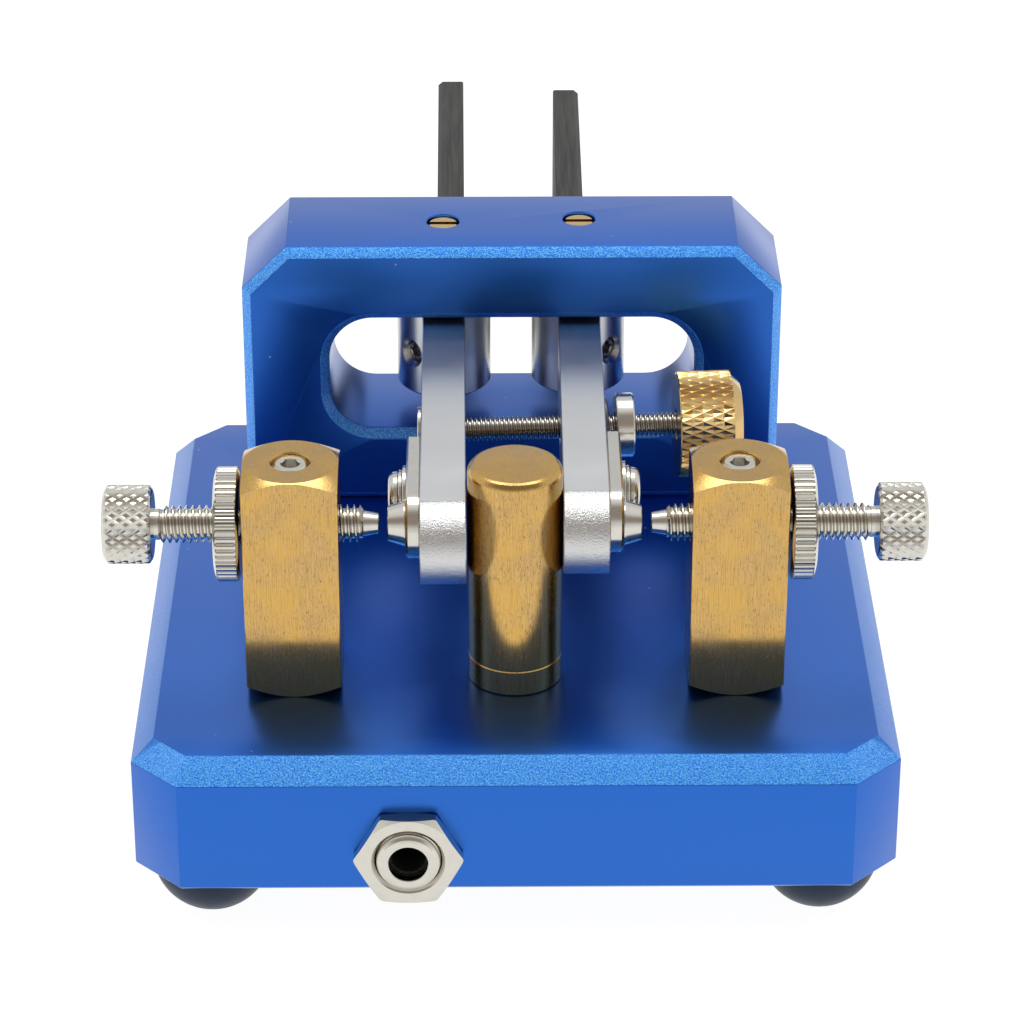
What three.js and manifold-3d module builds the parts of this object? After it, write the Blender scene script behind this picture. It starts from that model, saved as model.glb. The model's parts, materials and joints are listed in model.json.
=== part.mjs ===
// Dual-lever morse key. Millimetres, +Z up, paddles towards +Y, jack on the -Y side.
// Parts are placed with y = 0 on the base's front face and z = 0 on its underside;
// the outer group then moves the origin to the middle of the resting plane.
import * as THREE from "three";
import { mergeVertices } from "three/addons/utils/BufferGeometryUtils.js";
import Module from "manifold-3d";

const wasm = await Module();
wasm.setup();

// ---- driving dimensions -------------------------------------------------
const BASE = { width: 80, depth: 80, height: 15, corner: 5, chamfer: 2.4 };
const POCKET = { roof: 10, front: 3, step: 14.2, back: 34, narrow: 24.5, wide: 29.5 };
const FOOT = { radius: 6.4, height: 5.5, flat: 1.9, x: 32, front: 7, back: 73 };
const BRIDGE = { width: 60.8, depth: 16, height: 31.6, front: 58.15, corner: 5, edge: 1.05 };
const WINDOW = { width: 41.4, floor: 9, height: 13.8, radius: 5 };
const POST = { x: 23.3, y: 19, size: 10, height: 25.4, flat: 4.9, slope: 30 };
const CENTRE_POST = { radius: 5, height: 25.1, bevel: 0.65, bevelHeight: 0.8 };
const CONTACT = { z: 33.1, tip: 14.22, cone: 15.78, neck: 37.1, head: 37.8, end: 42.9 };
const LOCK_NUT = { radius: 6, from: 28.6, to: 31.3 };
const PIVOT = { tilt: 0.3, recess: 0.25, screw: 1.75, hole: 1.85 };
const BAR = { thick: 4.8, low: 28, high: 37.3, end: 88, lap: 76.5, tongue: 0.75 };
const HUB = { radius: 5.35, low: 26.8, screwZ: 31.85, screwAngle: 45 };
const STRIP = { radius: 3.66, thick: 1.33, length: 16.6, z: 33.1 };
const BLADE = { thick: 3.1, from: 77, low: 22, high: 44, radius: 2.5, corner: 0.3 };
const ROD = { y: 41.87, z: 32.55, turn: 2.86, radius: 1.45, from: -10.3, to: 23.8 };
const DISC = { radius: 3.6, from: 10.9, to: 13.2 };
const KNOB = { radius: 5.78, from: 17.7, to: 24.9 };
const CUP = { radius: 4.1, floor: 0.1 };
const JACK = { x: -11.2, z: 4.45, bush: 3.4, bore: 1.8, nut: 10, nutThick: 1.7, out: 2.1 };
const M4 = { screw: 1.98, hole: 2.06 };

// The two levers are alike but not twins: each has its own pivot depth and lengths.
const SIDES = [
  { name: "left", s: -1, pivotX: 7.76, pivotY: 66.2, nose: 11.25, tip: 115.1, strip: 15.3, screw: 25.2 },
  { name: "right", s: 1, pivotX: 7.67, pivotY: 66.8, nose: 13.4, tip: 112.2, strip: 16.4, screw: 26.1 },
];

const FINISH = {
  blue: { color: 0x2450a8, roughness: 0.4, metalness: 0.75 },
  brass: { color: 0xc79a4b, roughness: 0.35, metalness: 1 },
  nickel: { color: 0xc9c6be, roughness: 0.22, metalness: 1 },
  steel: { color: 0x9b9a98, roughness: 0.3, metalness: 1 },
  silver: { color: 0xc8cbcd, roughness: 0.45, metalness: 0.9 },
  black: { color: 0x3b3b39, roughness: 0.6, metalness: 0 },
  rubber: { color: 0x343a42, roughness: 0.4, metalness: 0 },
  nylon: { color: 0xe6e2d6, roughness: 0.5, metalness: 0 },
  red: { color: 0xb02a22, roughness: 0.5, metalness: 0 },
  green: { color: 0x2f7d46, roughness: 0.5, metalness: 0 },
};

// ---- solids -------------------------------------------------------------
const RAD = Math.PI / 180;
// Moves the extrude or lathe direction of a geometry onto the named axis.
const TURN = {
  x: new THREE.Matrix4().set(0, 0, 1, 0, 1, 0, 0, 0, 0, 1, 0, 0, 0, 0, 0, 1),
  y: new THREE.Matrix4().set(1, 0, 0, 0, 0, 0, -1, 0, 0, 1, 0, 0, 0, 0, 0, 1),
  z: new THREE.Matrix4(),
};

function toSolid(geometry) {
  const bare = geometry.clone();
  bare.deleteAttribute("normal");
  bare.deleteAttribute("uv");
  const merged = mergeVertices(bare, 1e-4);
  const position = merged.attributes.position.array;
  const triangles = [];
  for (let i = 0; i < merged.index.count; i += 3) {
    const [a, b, c] = [0, 1, 2].map((k) => merged.index.array[i + k]);
    if (a !== b && b !== c && c !== a) triangles.push(a, b, c);
  }
  const build = (triVerts) =>
    new wasm.Manifold(new wasm.Mesh({ numProp: 3, vertProperties: position, triVerts }));
  const solid = build(new Uint32Array(triangles));
  return solid.volume() > 0 ? solid : build(new Uint32Array(triangles).reverse());
}

function toGeometry(solid) {
  const out = solid.getMesh();
  const geometry = new THREE.BufferGeometry();
  geometry.setAttribute("position", new THREE.BufferAttribute(out.vertProperties, 3));
  geometry.setIndex(new THREE.BufferAttribute(out.triVerts, 1));
  geometry.computeVertexNormals();
  return geometry;
}

const low = (a, b) => Math.min(a, b);

function box([x0, x1], [y0, y1], [z0, z1]) {
  const g = new THREE.BoxGeometry(Math.abs(x1 - x0), Math.abs(y1 - y0), Math.abs(z1 - z0));
  return toSolid(g.translate((x0 + x1) / 2, (y0 + y1) / 2, (z0 + z1) / 2));
}

// Cylinder or cone along an axis; centre holds the two other coordinates in x, y, z order.
function round(axis, centre, from, to, r0, r1 = r0, segments = 32) {
  const profile = [[0, from], [r0, from], [r1, to], [0, to]];
  return turned(axis, centre, profile, segments);
}

// Profile points are [radius, height along the axis].
function turned(axis, centre, profile, segments = 32) {
  const points = profile.map(([r, h]) => new THREE.Vector2(r, h));
  if (profile[0][0] > 0) points.push(points[0].clone());
  const g = new THREE.LatheGeometry(points, segments).rotateX(Math.PI / 2);
  if (axis === "x") g.applyMatrix4(TURN.x).translate(0, centre[0], centre[1]);
  if (axis === "y") g.rotateX(-Math.PI / 2).translate(centre[0], 0, centre[1]);
  if (axis === "z") g.translate(centre[0], centre[1], 0);
  return toSolid(g);
}

// A flat outline pushed along an axis; the outline uses the two other coordinates in x, y, z order.
function slab(axis, shape, from, to, edge = 0) {
  const depth = Math.abs(to - from) - 2 * edge;
  const bevel = { bevelEnabled: edge > 0, bevelThickness: edge, bevelSize: edge, bevelOffset: -edge };
  const options = { depth, curveSegments: 8, bevelSegments: 1, ...bevel };
  const g = new THREE.ExtrudeGeometry(shape, options).translate(0, 0, edge);
  if (axis === "y") g.applyMatrix4(TURN.y).translate(0, Math.max(from, to), 0);
  if (axis === "x") g.applyMatrix4(TURN.x).translate(low(from, to), 0, 0);
  if (axis === "z") g.translate(0, 0, low(from, to));
  return toSolid(g);
}

const outline = (points) => new THREE.Shape(points.map(([a, b]) => new THREE.Vector2(a, b)));

function hexagon(acrossFlats, turn = 0) {
  const r = acrossFlats / 2 / Math.cos(30 * RAD);
  return outline([0, 1, 2, 3, 4, 5].map((i) => {
    const a = (60 * i + turn) * RAD;
    return [r * Math.cos(a), r * Math.sin(a)];
  }));
}

// Rectangle with its corners rounded, in order: low-low, high-low, high-high, low-high.
function roundedRect(a0, a1, b0, b1, [r0, r1, r2, r3]) {
  const s = new THREE.Shape();
  s.moveTo(a0 + r0, b0).lineTo(a1 - r1, b0);
  if (r1) s.absarc(a1 - r1, b0 + r1, r1, -Math.PI / 2, 0);
  s.lineTo(a1, b1 - r2);
  if (r2) s.absarc(a1 - r2, b1 - r2, r2, 0, Math.PI / 2);
  s.lineTo(a0 + r3, b1);
  if (r3) s.absarc(a0 + r3, b1 - r3, r3, Math.PI / 2, Math.PI);
  s.lineTo(a0, b0 + r0);
  if (r0) s.absarc(a0 + r0, b0 + r0, r0, Math.PI, 1.5 * Math.PI);
  return s;
}

function cutCornerRect(x, y0, y1, c) {
  return outline([[-x + c, y0], [x - c, y0], [x, y0 + c], [x, y1 - c],
    [x - c, y1], [-x + c, y1], [-x, y1 - c], [-x, y0 + c]]);
}

// ---- the object's groups ------------------------------------------------
const group = new THREE.Group();
group.name = "morse_key";
const key = new THREE.Group();
group.add(key);

function part(name, finish, solid, parent = key) {
  const mesh = new THREE.Mesh(toGeometry(solid), new THREE.MeshStandardMaterial(FINISH[finish]));
  mesh.name = name;
  parent.add(mesh);
}

// ---- base, pocket and feet ----------------------------------------------
function makeBase() {
  const { width, depth, height, corner, chamfer } = BASE;
  const half = width / 2;
  let base = slab("z", cutCornerRect(half, 0, depth, corner), 0, height - chamfer);
  const top = slab("z", cutCornerRect(half, 0, depth, corner), height - 3 * chamfer, height, chamfer);
  base = base.add(top);
  const { narrow, wide, front, step, back, roof } = POCKET;
  base = base.subtract(box([-narrow, narrow], [front, step + 1], [-1, roof]));
  base = base.subtract(box([-wide, wide], [step, back], [-1, roof]));
  base = base.subtract(round("y", [JACK.x, JACK.z], -1, front + 1, 3.55));
  base = base.subtract(round("z", [0, POST.y], roof - 1, height + 1, 2.4));
  for (const { s } of SIDES) {
    base = base.subtract(round("z", [s * POST.x, POST.y], roof - 1, height + 1, 3.4));
    base = base.subtract(round("z", [s * 24.2, 66.15], -1, height + 1, 2.3));
    base = base.subtract(round("z", [s * 24.2, 66.15], -1, 5, 4));
  }
  part("base_plate", "blue", base);
}

function makeFeet() {
  const { radius, height, flat, x } = FOOT;
  const centre = Math.sqrt(radius ** 2 - flat ** 2) - height;
  const profile = [[0, -height]];
  const first = Math.asin(flat / radius);
  const last = Math.acos(-centre / radius) > 0 ? Math.PI - Math.acos(-centre / radius) : 0;
  for (let i = 0; i <= 7; i++) {
    const a = first + ((Math.PI - last - first) * i) / 7;
    profile.push([radius * Math.sin(a), centre - radius * Math.cos(a)]);
  }
  profile[8][1] = 0;
  profile.push([0, 0]);
  for (const { name, s } of SIDES) {
    part(`foot_front_${name}`, "rubber", turned("z", [s * x, FOOT.front], profile, 28));
    part(`foot_rear_${name}`, "rubber", turned("z", [s * x, FOOT.back], profile, 28));
  }
}

// ---- bridge and its pivots ----------------------------------------------
function makeBridge() {
  const { width, depth, height, front, corner, edge } = BRIDGE;
  const [x, z0, z1] = [width / 2, BASE.height, BASE.height + height];
  const shape = outline([[-x, z0], [x, z0], [x, z1 - corner], [x - corner, z1],
    [-x + corner, z1], [-x, z1 - corner]]);
  const floor = z0 + WINDOW.floor;
  const r = WINDOW.radius;
  const w = WINDOW.width / 2;
  shape.holes.push(roundedRect(-w, w, floor, floor + WINDOW.height, [r, r, r, r]));
  let bridge = slab("y", shape, front, front + depth, edge);
  for (const { s, pivotX, pivotY } of SIDES) {
    const at = [s * pivotX, pivotY];
    bridge = bridge.subtract(round("z", at, z1 - 10, z1 + 1, PIVOT.hole));
    bridge = bridge.subtract(round("z", at, floor - 5, floor + 1, 1.55));
    bridge = bridge.subtract(round("z", [s * 24.2, 66.15], z0 - 1, z0 + 10, M4.hole));
  }
  part("bridge", "blue", bridge);
}

function makePivots() {
  const top = BASE.height + BRIDGE.height;
  const floor = BASE.height + WINDOW.floor;
  for (const { name, s, pivotX, pivotY } of SIDES) {
    const at = [s * pivotX, pivotY];
    const face = top - PIVOT.recess;
    const screw = turned("z", at, [[0, 36.2], [0.3, 36.2], [1.1, 37.6], [PIVOT.screw, 38.2],
      [PIVOT.screw, face], [0, face]]);
    const slot = box([at[0] - 3, at[0] + 3], [at[1] - 0.35, at[1] + 0.35], [face - 1.1, top]);
    part(`${name}_pivot_screw`, "brass", screw.subtract(slot));
    part(`${name}_pivot_pin`, "steel", turned("z", at, [[0, floor - 4.8], [1.5, floor - 4.8],
      [1.5, HUB.low - 0.5], [0.3, HUB.low + 1], [0, HUB.low + 1]]));
    part(`${name}_bridge_bolt`, "steel", capScrew([s * 24.2, 66.15], 1.2, 5, 23.5));
  }
}

// Cap screw driven from below: head from z0 to z1, thread up to z2.
function capScrew(at, z0, z1, z2, head = 3.5) {
  const bolt = turned("z", at, [[0, z0], [head - 0.3, z0], [head, z0 + 0.3], [head, z1],
    [M4.screw, z1], [M4.screw, z2], [0, z2]]);
  const socket = slab("z", hexagon(3), z0 - 1, z0 + 1.6);
  return bolt.subtract(socket.translate([at[0], at[1], 0]));
}

// ---- brass posts --------------------------------------------------------
function makeContactPost({ name, s }) {
  const { x, y, size, height, flat, slope } = POST;
  const [z0, z1, half] = [BASE.height, BASE.height + height, size / 2];
  const drop = (8 - flat) * Math.tan(slope * RAD);
  const turnedEnds = turned("z", [s * x, y],
    [[0, z0], [flat, z0], [8, z0 + drop], [8, z1 - drop], [flat, z1], [0, z1]], 48);
  const bar = box([s * x - half, s * x + half], [y - half, y + half], [z0, z1]);
  const post = bar.intersect(turnedEnds)
    .subtract(round("x", [y, CONTACT.z], s * x - 8, s * x + 8, M4.hole))
    .subtract(round("z", [s * x, y], CONTACT.z, z1 + 1, M4.hole))
    .subtract(round("z", [s * x, y], z0 - 1, z0 + 10.5, M4.hole));
  part(`${name}_contact_post`, "brass", post);

  const screw = round("z", [s * x, y], CONTACT.z + 2.15, z1 - 0.5, M4.screw);
  const socket = slab("z", hexagon(2), z1 - 2.5, z1).translate([s * x, y, 0]);
  part(`${name}_post_set_screw`, "steel", screw.subtract(socket));

  const roof = POCKET.roof;
  part(`${name}_post_insulator`, "nylon", turned("z", [s * x, y], [[2.1, roof - 1.2], [4.5, roof - 1.2],
    [4.5, roof - 0.02], [3.3, roof - 0.02], [3.3, z0 - 0.1], [2.1, z0 - 0.1]]));
  part(`${name}_post_lug`, "nickel", lug([s * x, y], roof - 1.85, -s, 0));
  part(`${name}_post_bolt`, "steel", capScrew([s * x, y], roof - 4.6, roof - 1.9, z0 + 9.5));
}

// Ring terminal with a tail that points along (dx, dy).
function lug([x, y], z, dx, dy) {
  const tail = box([3 * dx - 1.3 * dy, 8 * dx + 1.3 * dy], [3 * dy - 1.3 * dx, 8 * dy + 1.3 * dx],
    [z, z + 0.6]).translate([x, y, 0]);
  const ring = round("z", [x, y], z, z + 0.6, 3.6, 3.6, 24);
  return ring.add(tail).subtract(round("z", [x, y], z - 1, z + 2, 2.15, 2.15, 24));
}

function makeCentrePost() {
  const { radius, height, bevel, bevelHeight } = CENTRE_POST;
  const [z0, z1] = [BASE.height, BASE.height + height];
  const post = turned("z", [0, POST.y], [[0, z0], [radius, z0], [radius, z1 - bevelHeight],
    [radius - bevel, z1], [0, z1]], 48);
  part("centre_post", "brass", post.subtract(round("z", [0, POST.y], z0 - 1, z0 + 10.5, M4.hole)));
  const roof = POCKET.roof;
  part("centre_post_lug", "nickel", lug([0, POST.y], roof - 0.65, 0, 1));
  part("centre_post_bolt", "steel", capScrew([0, POST.y], roof - 3.4, roof - 0.7, z0 + 9.5));
}

// ---- contact screws and lock nuts ---------------------------------------
function makeContactScrew({ name, s }) {
  const { tip, cone, neck, head, end, z } = CONTACT;
  const profile = [[0, tip], [1.07, tip], [1.34, cone], [M4.screw, cone], [M4.screw, neck],
    [1.65, neck], [1.65, head], [3.7, head], [4.13, head + 0.4], [4.13, end - 0.5],
    [3.6, end], [0, end]];
  const mirrored = profile.map(([r, h]) => [r, s * h]);
  part(`${name}_contact_screw`, "nickel", turned("x", [POST.y, z], mirrored));

  const { radius, from, to } = LOCK_NUT;
  const nut = [[M4.hole, from], [radius - 0.5, from], [radius, from + 0.5],
    [radius, to - 0.5], [radius - 0.5, to], [M4.hole, to]].map(([r, h]) => [r, s * h]);
  part(`${name}_lock_nut`, "nickel", turned("x", [POST.y, z], nut, 40));
}

// ---- levers: local origin on the pivot axis, local y along the bar ------
function makeLever(side) {
  const { name, s, pivotX, pivotY, nose, tip, strip, screw } = side;
  const lever = new THREE.Group();
  lever.position.set(s * pivotX, pivotY, 0);
  lever.rotation.z = -s * PIVOT.tilt * RAD;
  key.add(lever);
  const y = (design) => design - pivotY;
  const half = BAR.thick / 2;
  const r = (BAR.high - BAR.low) / 2;
  const add = (id, finish, solid) => part(`${name}_${id}`, finish, solid, lever);

  const side0 = roundedRect(y(nose), y(BAR.end), BAR.low, BAR.high, [r, 0, 0, r]);
  let body = slab("x", side0, -half, half).add(round("z", [0, 0], HUB.low, BAR.high, HUB.radius, HUB.radius, 40));
  body = body.subtract(box([-s * 4, s * BAR.tongue], [y(BAR.lap), y(BAR.end) + 1], [20, 40]));
  body = body.subtract(round("z", [0, 0], HUB.low - 0.1, HUB.low + 1.6, 1.6, 0.5));
  body = body.subtract(round("z", [0, 0], BAR.high - 1.7, BAR.high + 0.1, 0.5, 1.7));
  body = body.subtract(round("x", [y(screw), STRIP.z], -s * 0.8, s * 4, 1.55, 1.55, 20));
  body = body.subtract(hubHole(s, 1.3, 1.6, 8));
  const rodY = y(ROD.y + s * 0.375);
  body = body.subtract(round("x", [rodY, ROD.z], -4, 4, s < 0 ? 1.85 : 2.1, undefined, 28));
  if (s < 0) body = body.subtract(round("x", [rodY, ROD.z], -4, 1.2, 2.35, 2.35, 28));
  else body = body.subtract(round("x", [rodY, ROD.z], CUP.floor, 4, CUP.radius, CUP.radius, 36));
  for (const at of [80, 85]) body = body.subtract(round("x", [y(at), 32.65], -4, 4, 1.25, 1.25, 16));
  add("lever", "silver", body);

  const b = BLADE.radius;
  let blade = slab("x", roundedRect(y(BLADE.from), y(tip), BLADE.low, BLADE.high, [1, b, BLADE.corner, 1]),
    -s * half, s * (BLADE.thick - half));
  for (const at of [80, 85]) {
    blade = blade.subtract(round("x", [y(at), 32.65], -4, 4, 1.25, 1.25, 16));
    const profile = [[0, -half - 1.2], [1.7, -half - 1.2], [2.2, -half - 0.7], [2.2, -half - 0.02],
      [1.18, -half - 0.02], [1.18, half - 0.1], [0, half - 0.1]].map(([rr, h]) => [rr, s * h]);
    add(`blade_screw_${at === 80 ? "front" : "rear"}`, "steel", turned("x", [y(at), 32.65], profile, 20));
  }
  add("finger_blade", "black", blade);
  add("hub_screw", "steel", hubHole(s, 1.22, 1.9, 4.6));

  const outer = half + 0.02;
  const face = outer + STRIP.thick;
  const sr = STRIP.radius;
  const stripShape = roundedRect(y(strip), y(strip + STRIP.length), STRIP.z - sr, STRIP.z + sr, [sr, 0, 0, sr]);
  add("contact_strip", "nickel", slab("x", stripShape, s * outer, s * face)
    .subtract(round("x", [y(screw), STRIP.z], s * outer - 2, s * outer + 2, 1.55, 1.55, 20)));
  add("contact_button", "nickel", turned("x", [y(POST.y), CONTACT.z],
    [[0, face + 0.02], [2.35, face + 0.02], [2.4, face + 0.15], [1.6, 5.7], [1.5, 5.79],
      [0, 5.79]].map(([rr, h]) => [rr, s * h]), 28));
  const w = face + 0.02;
  add("strip_washer", "nickel", turned("x", [y(screw), STRIP.z],
    [[1.55, w], [3.5, w], [3.5, w + 0.45], [1.55, w + 0.45]].map(([rr, h]) => [rr, s * h])));
  add("strip_screw", "nickel", turned("x", [y(screw), STRIP.z], [[0, -0.6], [1.45, -0.6],
    [1.45, w + 0.5], [2.8, w + 0.5], [2.8, w + 1.2], [2.4, w + 1.75], [1.4, w + 2.05],
    [0, w + 2.15]].map(([rr, h]) => [rr, s * h])));
  if (s < 0) {
    add("rod_nut", "nickel", turned("x", [rodY, ROD.z], [[1.66, -half - 0.45], [2.6, -half - 0.45],
      [2.6, -half - 0.02], [2.28, -half - 0.02], [2.28, 1.1], [1.66, 1.1]], 28));
  }
}

// Radial hole or screw in the hub at 45 degrees, towards the outside and the front.
function hubHole(s, radius, inner, outer) {
  const turn = -s * (90 - HUB.screwAngle);
  return round("y", [0, HUB.screwZ], -outer, -inner, radius, radius, 20).rotate([0, 0, -turn]);
}

// ---- tension rod: local x along the rod ---------------------------------
class Coil extends THREE.Curve {
  getPoint(t) {
    const a = 2 * Math.PI * 3 * t;
    return new THREE.Vector3(8.25 + 2.25 * t, 2.9 * Math.cos(a), 2.9 * Math.sin(a));
  }
}

function makeTension() {
  const tension = new THREE.Group();
  tension.position.set(0, ROD.y, ROD.z);
  tension.rotation.z = ROD.turn * RAD;
  key.add(tension);
  const { radius, from, to } = ROD;
  part("tension_rod", "steel", round("x", [0, 0], from, to, radius), tension);
  const hole = radius + 0.06;
  part("tension_disc", "nickel", turned("x", [0, 0], [[hole, DISC.from], [3.2, DISC.from],
    [DISC.radius, DISC.from + 0.3], [DISC.radius, DISC.to - 0.3], [3.2, DISC.to], [hole, DISC.to]],
  36), tension);
  const knob = [[0, KNOB.to], [KNOB.radius - 0.9, KNOB.to], [KNOB.radius, KNOB.to - 1.1],
    [KNOB.radius, KNOB.from + 0.5], [KNOB.radius - 0.5, KNOB.from], [hole, KNOB.from],
    [hole, to + 0.1], [0, to + 0.1]];
  part("tension_knob", "brass", turned("x", [0, 0], knob, 40), tension);
  const wire = new THREE.Shape().absarc(0, 0, 0.33, 0, 2 * Math.PI);
  const options = { steps: 66, curveSegments: 4, bevelEnabled: false, extrudePath: new Coil() };
  part("return_spring", "steel", toSolid(new THREE.ExtrudeGeometry(wire, options)), tension);
}

// ---- jack and wiring ----------------------------------------------------
function makeJack() {
  const { x, z, bush, bore, nut, nutThick, out } = JACK;
  const wall = POCKET.front;
  part("jack_bush", "nickel", turned("y", [x, z], [[bore, -out], [bush - 0.4, -out], [bush, -out + 0.4],
    [bush, wall + 0.1], [bore, wall + 0.1]], 36));
  const ring = slab("y", hexagon(nut), -nutThick, -0.02).translate([x, 0, z]);
  part("jack_nut", "nickel", ring.subtract(round("y", [x, z], -4, 1, bush + 0.08, undefined, 36)));
  const housing = box([x - 4.4, x + 4.4], [wall + 0.15, 15], [0.4, 9.2])
    .subtract(round("y", [x, z], 0, 14, bore))
    .subtract(box([x - 1.3, x + 1.3], [6, 14], [z + 1, z + 3.6]));
  part("jack_housing", "black", housing);
  const leaf = outline([[6.4, 2.4], [8.4, 1.1], [10.2, 1.9], [13.4, 2.7], [13.4, 3.1], [10, 2.3],
    [8.4, 1.6], [6.7, 2.7]].map(([a, b]) => [a, z + b]));
  part("jack_tip_spring", "nickel", slab("x", leaf, x - 0.9, x + 0.9));
}

function makeWires() {
  const start = JACK.x;
  const runs = {
    left_wire: ["red", [[start - 2.6, 15.2, 5], [start - 3.2, 17.2, 5.4], [-15.4, 19, 7.4]]],
    ground_wire: ["black", [[start, 15.2, 5], [-9, 21, 6.4], [-4, 25.6, 8], [-0.2, 26.3, 8.6]]],
    right_wire: ["green", [[start + 2.6, 15.2, 5], [-6.5, 22, 3.6], [0, 24.5, 3.4], [9, 22.5, 5],
      [15.4, 19, 7.4]]],
  };
  for (const [name, [finish, points]] of Object.entries(runs)) {
    const path = new THREE.CatmullRomCurve3(points.map((p) => new THREE.Vector3(...p)));
    const shape = new THREE.Shape().absarc(0, 0, 0.55, 0, 2 * Math.PI);
    const options = { steps: 22, curveSegments: 4, bevelEnabled: false, extrudePath: path };
    part(name, finish, toSolid(new THREE.ExtrudeGeometry(shape, options)));
  }
}

// ---- assembly -----------------------------------------------------------
makeBase();
makeFeet();
makeBridge();
makePivots();
makeCentrePost();
for (const side of SIDES) {
  makeContactPost(side);
  makeContactScrew(side);
  makeLever(side);
}
makeTension();
makeJack();
makeWires();

// Origin: middle of the whole part in plan, on the plane its feet rest on.
key.updateMatrixWorld(true);
const bounds = new THREE.Box3().setFromObject(key, true);
key.position.set(-(bounds.min.x + bounds.max.x) / 2, -(bounds.min.y + bounds.max.y) / 2, -bounds.min.z);

export default group;
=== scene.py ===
"""A dual-lever morse key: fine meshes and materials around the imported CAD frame."""
import json
import math

import bmesh
import bpy
from mathutils import Matrix, Vector
from mathutils.geometry import tessellate_polygon


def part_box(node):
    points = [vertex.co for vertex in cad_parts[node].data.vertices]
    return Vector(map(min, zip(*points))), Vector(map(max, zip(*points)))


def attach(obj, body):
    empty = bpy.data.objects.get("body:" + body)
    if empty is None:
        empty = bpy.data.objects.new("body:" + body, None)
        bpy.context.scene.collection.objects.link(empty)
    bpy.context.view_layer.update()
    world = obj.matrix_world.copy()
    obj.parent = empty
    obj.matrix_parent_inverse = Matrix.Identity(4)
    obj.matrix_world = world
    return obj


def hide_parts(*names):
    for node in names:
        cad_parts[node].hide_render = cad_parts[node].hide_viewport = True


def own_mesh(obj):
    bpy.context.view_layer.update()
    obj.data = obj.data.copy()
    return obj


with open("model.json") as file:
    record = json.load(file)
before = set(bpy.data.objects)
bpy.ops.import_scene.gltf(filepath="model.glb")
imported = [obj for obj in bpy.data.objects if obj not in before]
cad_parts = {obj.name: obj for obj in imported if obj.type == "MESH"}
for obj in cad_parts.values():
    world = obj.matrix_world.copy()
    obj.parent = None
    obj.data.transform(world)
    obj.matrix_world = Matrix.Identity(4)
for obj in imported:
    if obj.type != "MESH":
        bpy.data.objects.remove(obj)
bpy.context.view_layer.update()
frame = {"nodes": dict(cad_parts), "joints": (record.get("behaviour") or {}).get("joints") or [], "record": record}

# ---- the frame, in millimetres ----
# x is centred on the base, y is 0 on its front face and z is 0 on its underside.
MM = 0.001
RECORD = frame["record"]
JOINTS = {joint["name"]: joint for joint in frame["joints"]}
SLOT_OF = {part["node"]: part["material_slot"] for part in RECORD["subparts"]}
BODY_OF = {node: body for body, nodes in RECORD["behaviour"]["bodies"].items() for node in nodes}
ORIGIN = Vector((0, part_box("base_plate")[0].y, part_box("base_plate")[0].z))
SIDES = (("left", -1), ("right", 1))
UP = Vector((0, 0, 1))
FRONT = Vector((0, -1, 0))
BACK = Vector((0, 1, 0))
RIGHT = Vector((1, 0, 0))


def span(node):
    """Lowest and highest corner of a CAD node in the key's own axes."""
    return [(corner - ORIGIN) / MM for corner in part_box(node)]


def middle(node):
    low, high = span(node)
    return (low + high) / 2


def joint_point(name):
    return (Vector(JOINTS[name]["pos_m"]) - ORIGIN) / MM


def axes(at, toward=UP):
    """Axes at a point whose Z looks along toward; Y stays upright where it can."""
    turn = toward.to_track_quat("Z", "Y").to_matrix().to_4x4()
    return Matrix.Translation(at) @ turn


# ---- solids ----
WELD = 1e-4
CUT, JOIN, COMMON = "DIFFERENCE", "UNION", "INTERSECT"


class Solid:
    """A closed surface in millimetres, built ring by ring."""

    def __init__(self):
        self.points = []
        self.faces = []

    def ring(self, points):
        start = len(self.points)
        self.points += [Vector(p) for p in points]
        return list(range(start, len(self.points)))

    def join(self, a, b):
        """Faces from ring a to ring b; the rings may differ in number, and one point makes a fan."""
        i = j = 0
        while i < len(a) or j < len(b):
            from_a, to_a = a[i % len(a)], a[(i + 1) % len(a)]
            from_b, to_b = b[j % len(b)], b[(j + 1) % len(b)]
            if len(a) == len(b):
                self.faces.append((from_a, to_a, to_b, from_b))
                i, j = i + 1, j + 1
            elif len(b) == 1 or (len(a) > 1 and (i + 1) * len(b) <= (j + 1) * len(a)):
                self.faces.append((from_a, to_a, from_b))
                i, j = i + 1, j + (len(b) == 1 and i + 1 == len(a))
            else:
                self.faces.append((from_a, to_b, from_b))
                j, i = j + 1, i + (len(a) == 1 and j + 1 == len(b))

    def moved(self, matrix):
        copy = Solid()
        copy.points = [matrix @ p for p in self.points]
        copy.faces = self.faces
        return copy

    def mesh(self):
        mesh = bpy.data.meshes.new("solid")
        mesh.from_pydata(self.points, [], self.faces)
        work = bmesh.new()
        work.from_mesh(mesh)
        bmesh.ops.remove_doubles(work, verts=work.verts, dist=WELD)
        bmesh.ops.recalc_face_normals(work, faces=work.faces)
        work.to_mesh(mesh)
        work.free()
        return mesh


def circle(radius, height, count):
    if radius == 0:
        return [(0, 0, height)]
    turns = [2 * math.pi * i / count for i in range(count)]
    return [(radius * math.cos(a), radius * math.sin(a), height) for a in turns]


def turned(*sections, segments=64, closed=False):
    """A body turned about Z. A section is a (radius, height) ring, or a thread or knurl."""
    solid = Solid()
    first = last = None
    for section in sections:
        if callable(section):
            head, tail = section(solid)
        else:
            head = tail = solid.ring(circle(*section, segments))
        if last is not None:
            solid.join(last, head)
        first = first or head
        last = tail
    if closed:
        solid.join(last, first)
    return solid


# A thread's shape over one pitch: share of the pitch, share of the depth.
THREAD_SHAPE = ((0, 0), (0.14, 0), (0.44, 1), (0.68, 1))


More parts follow.
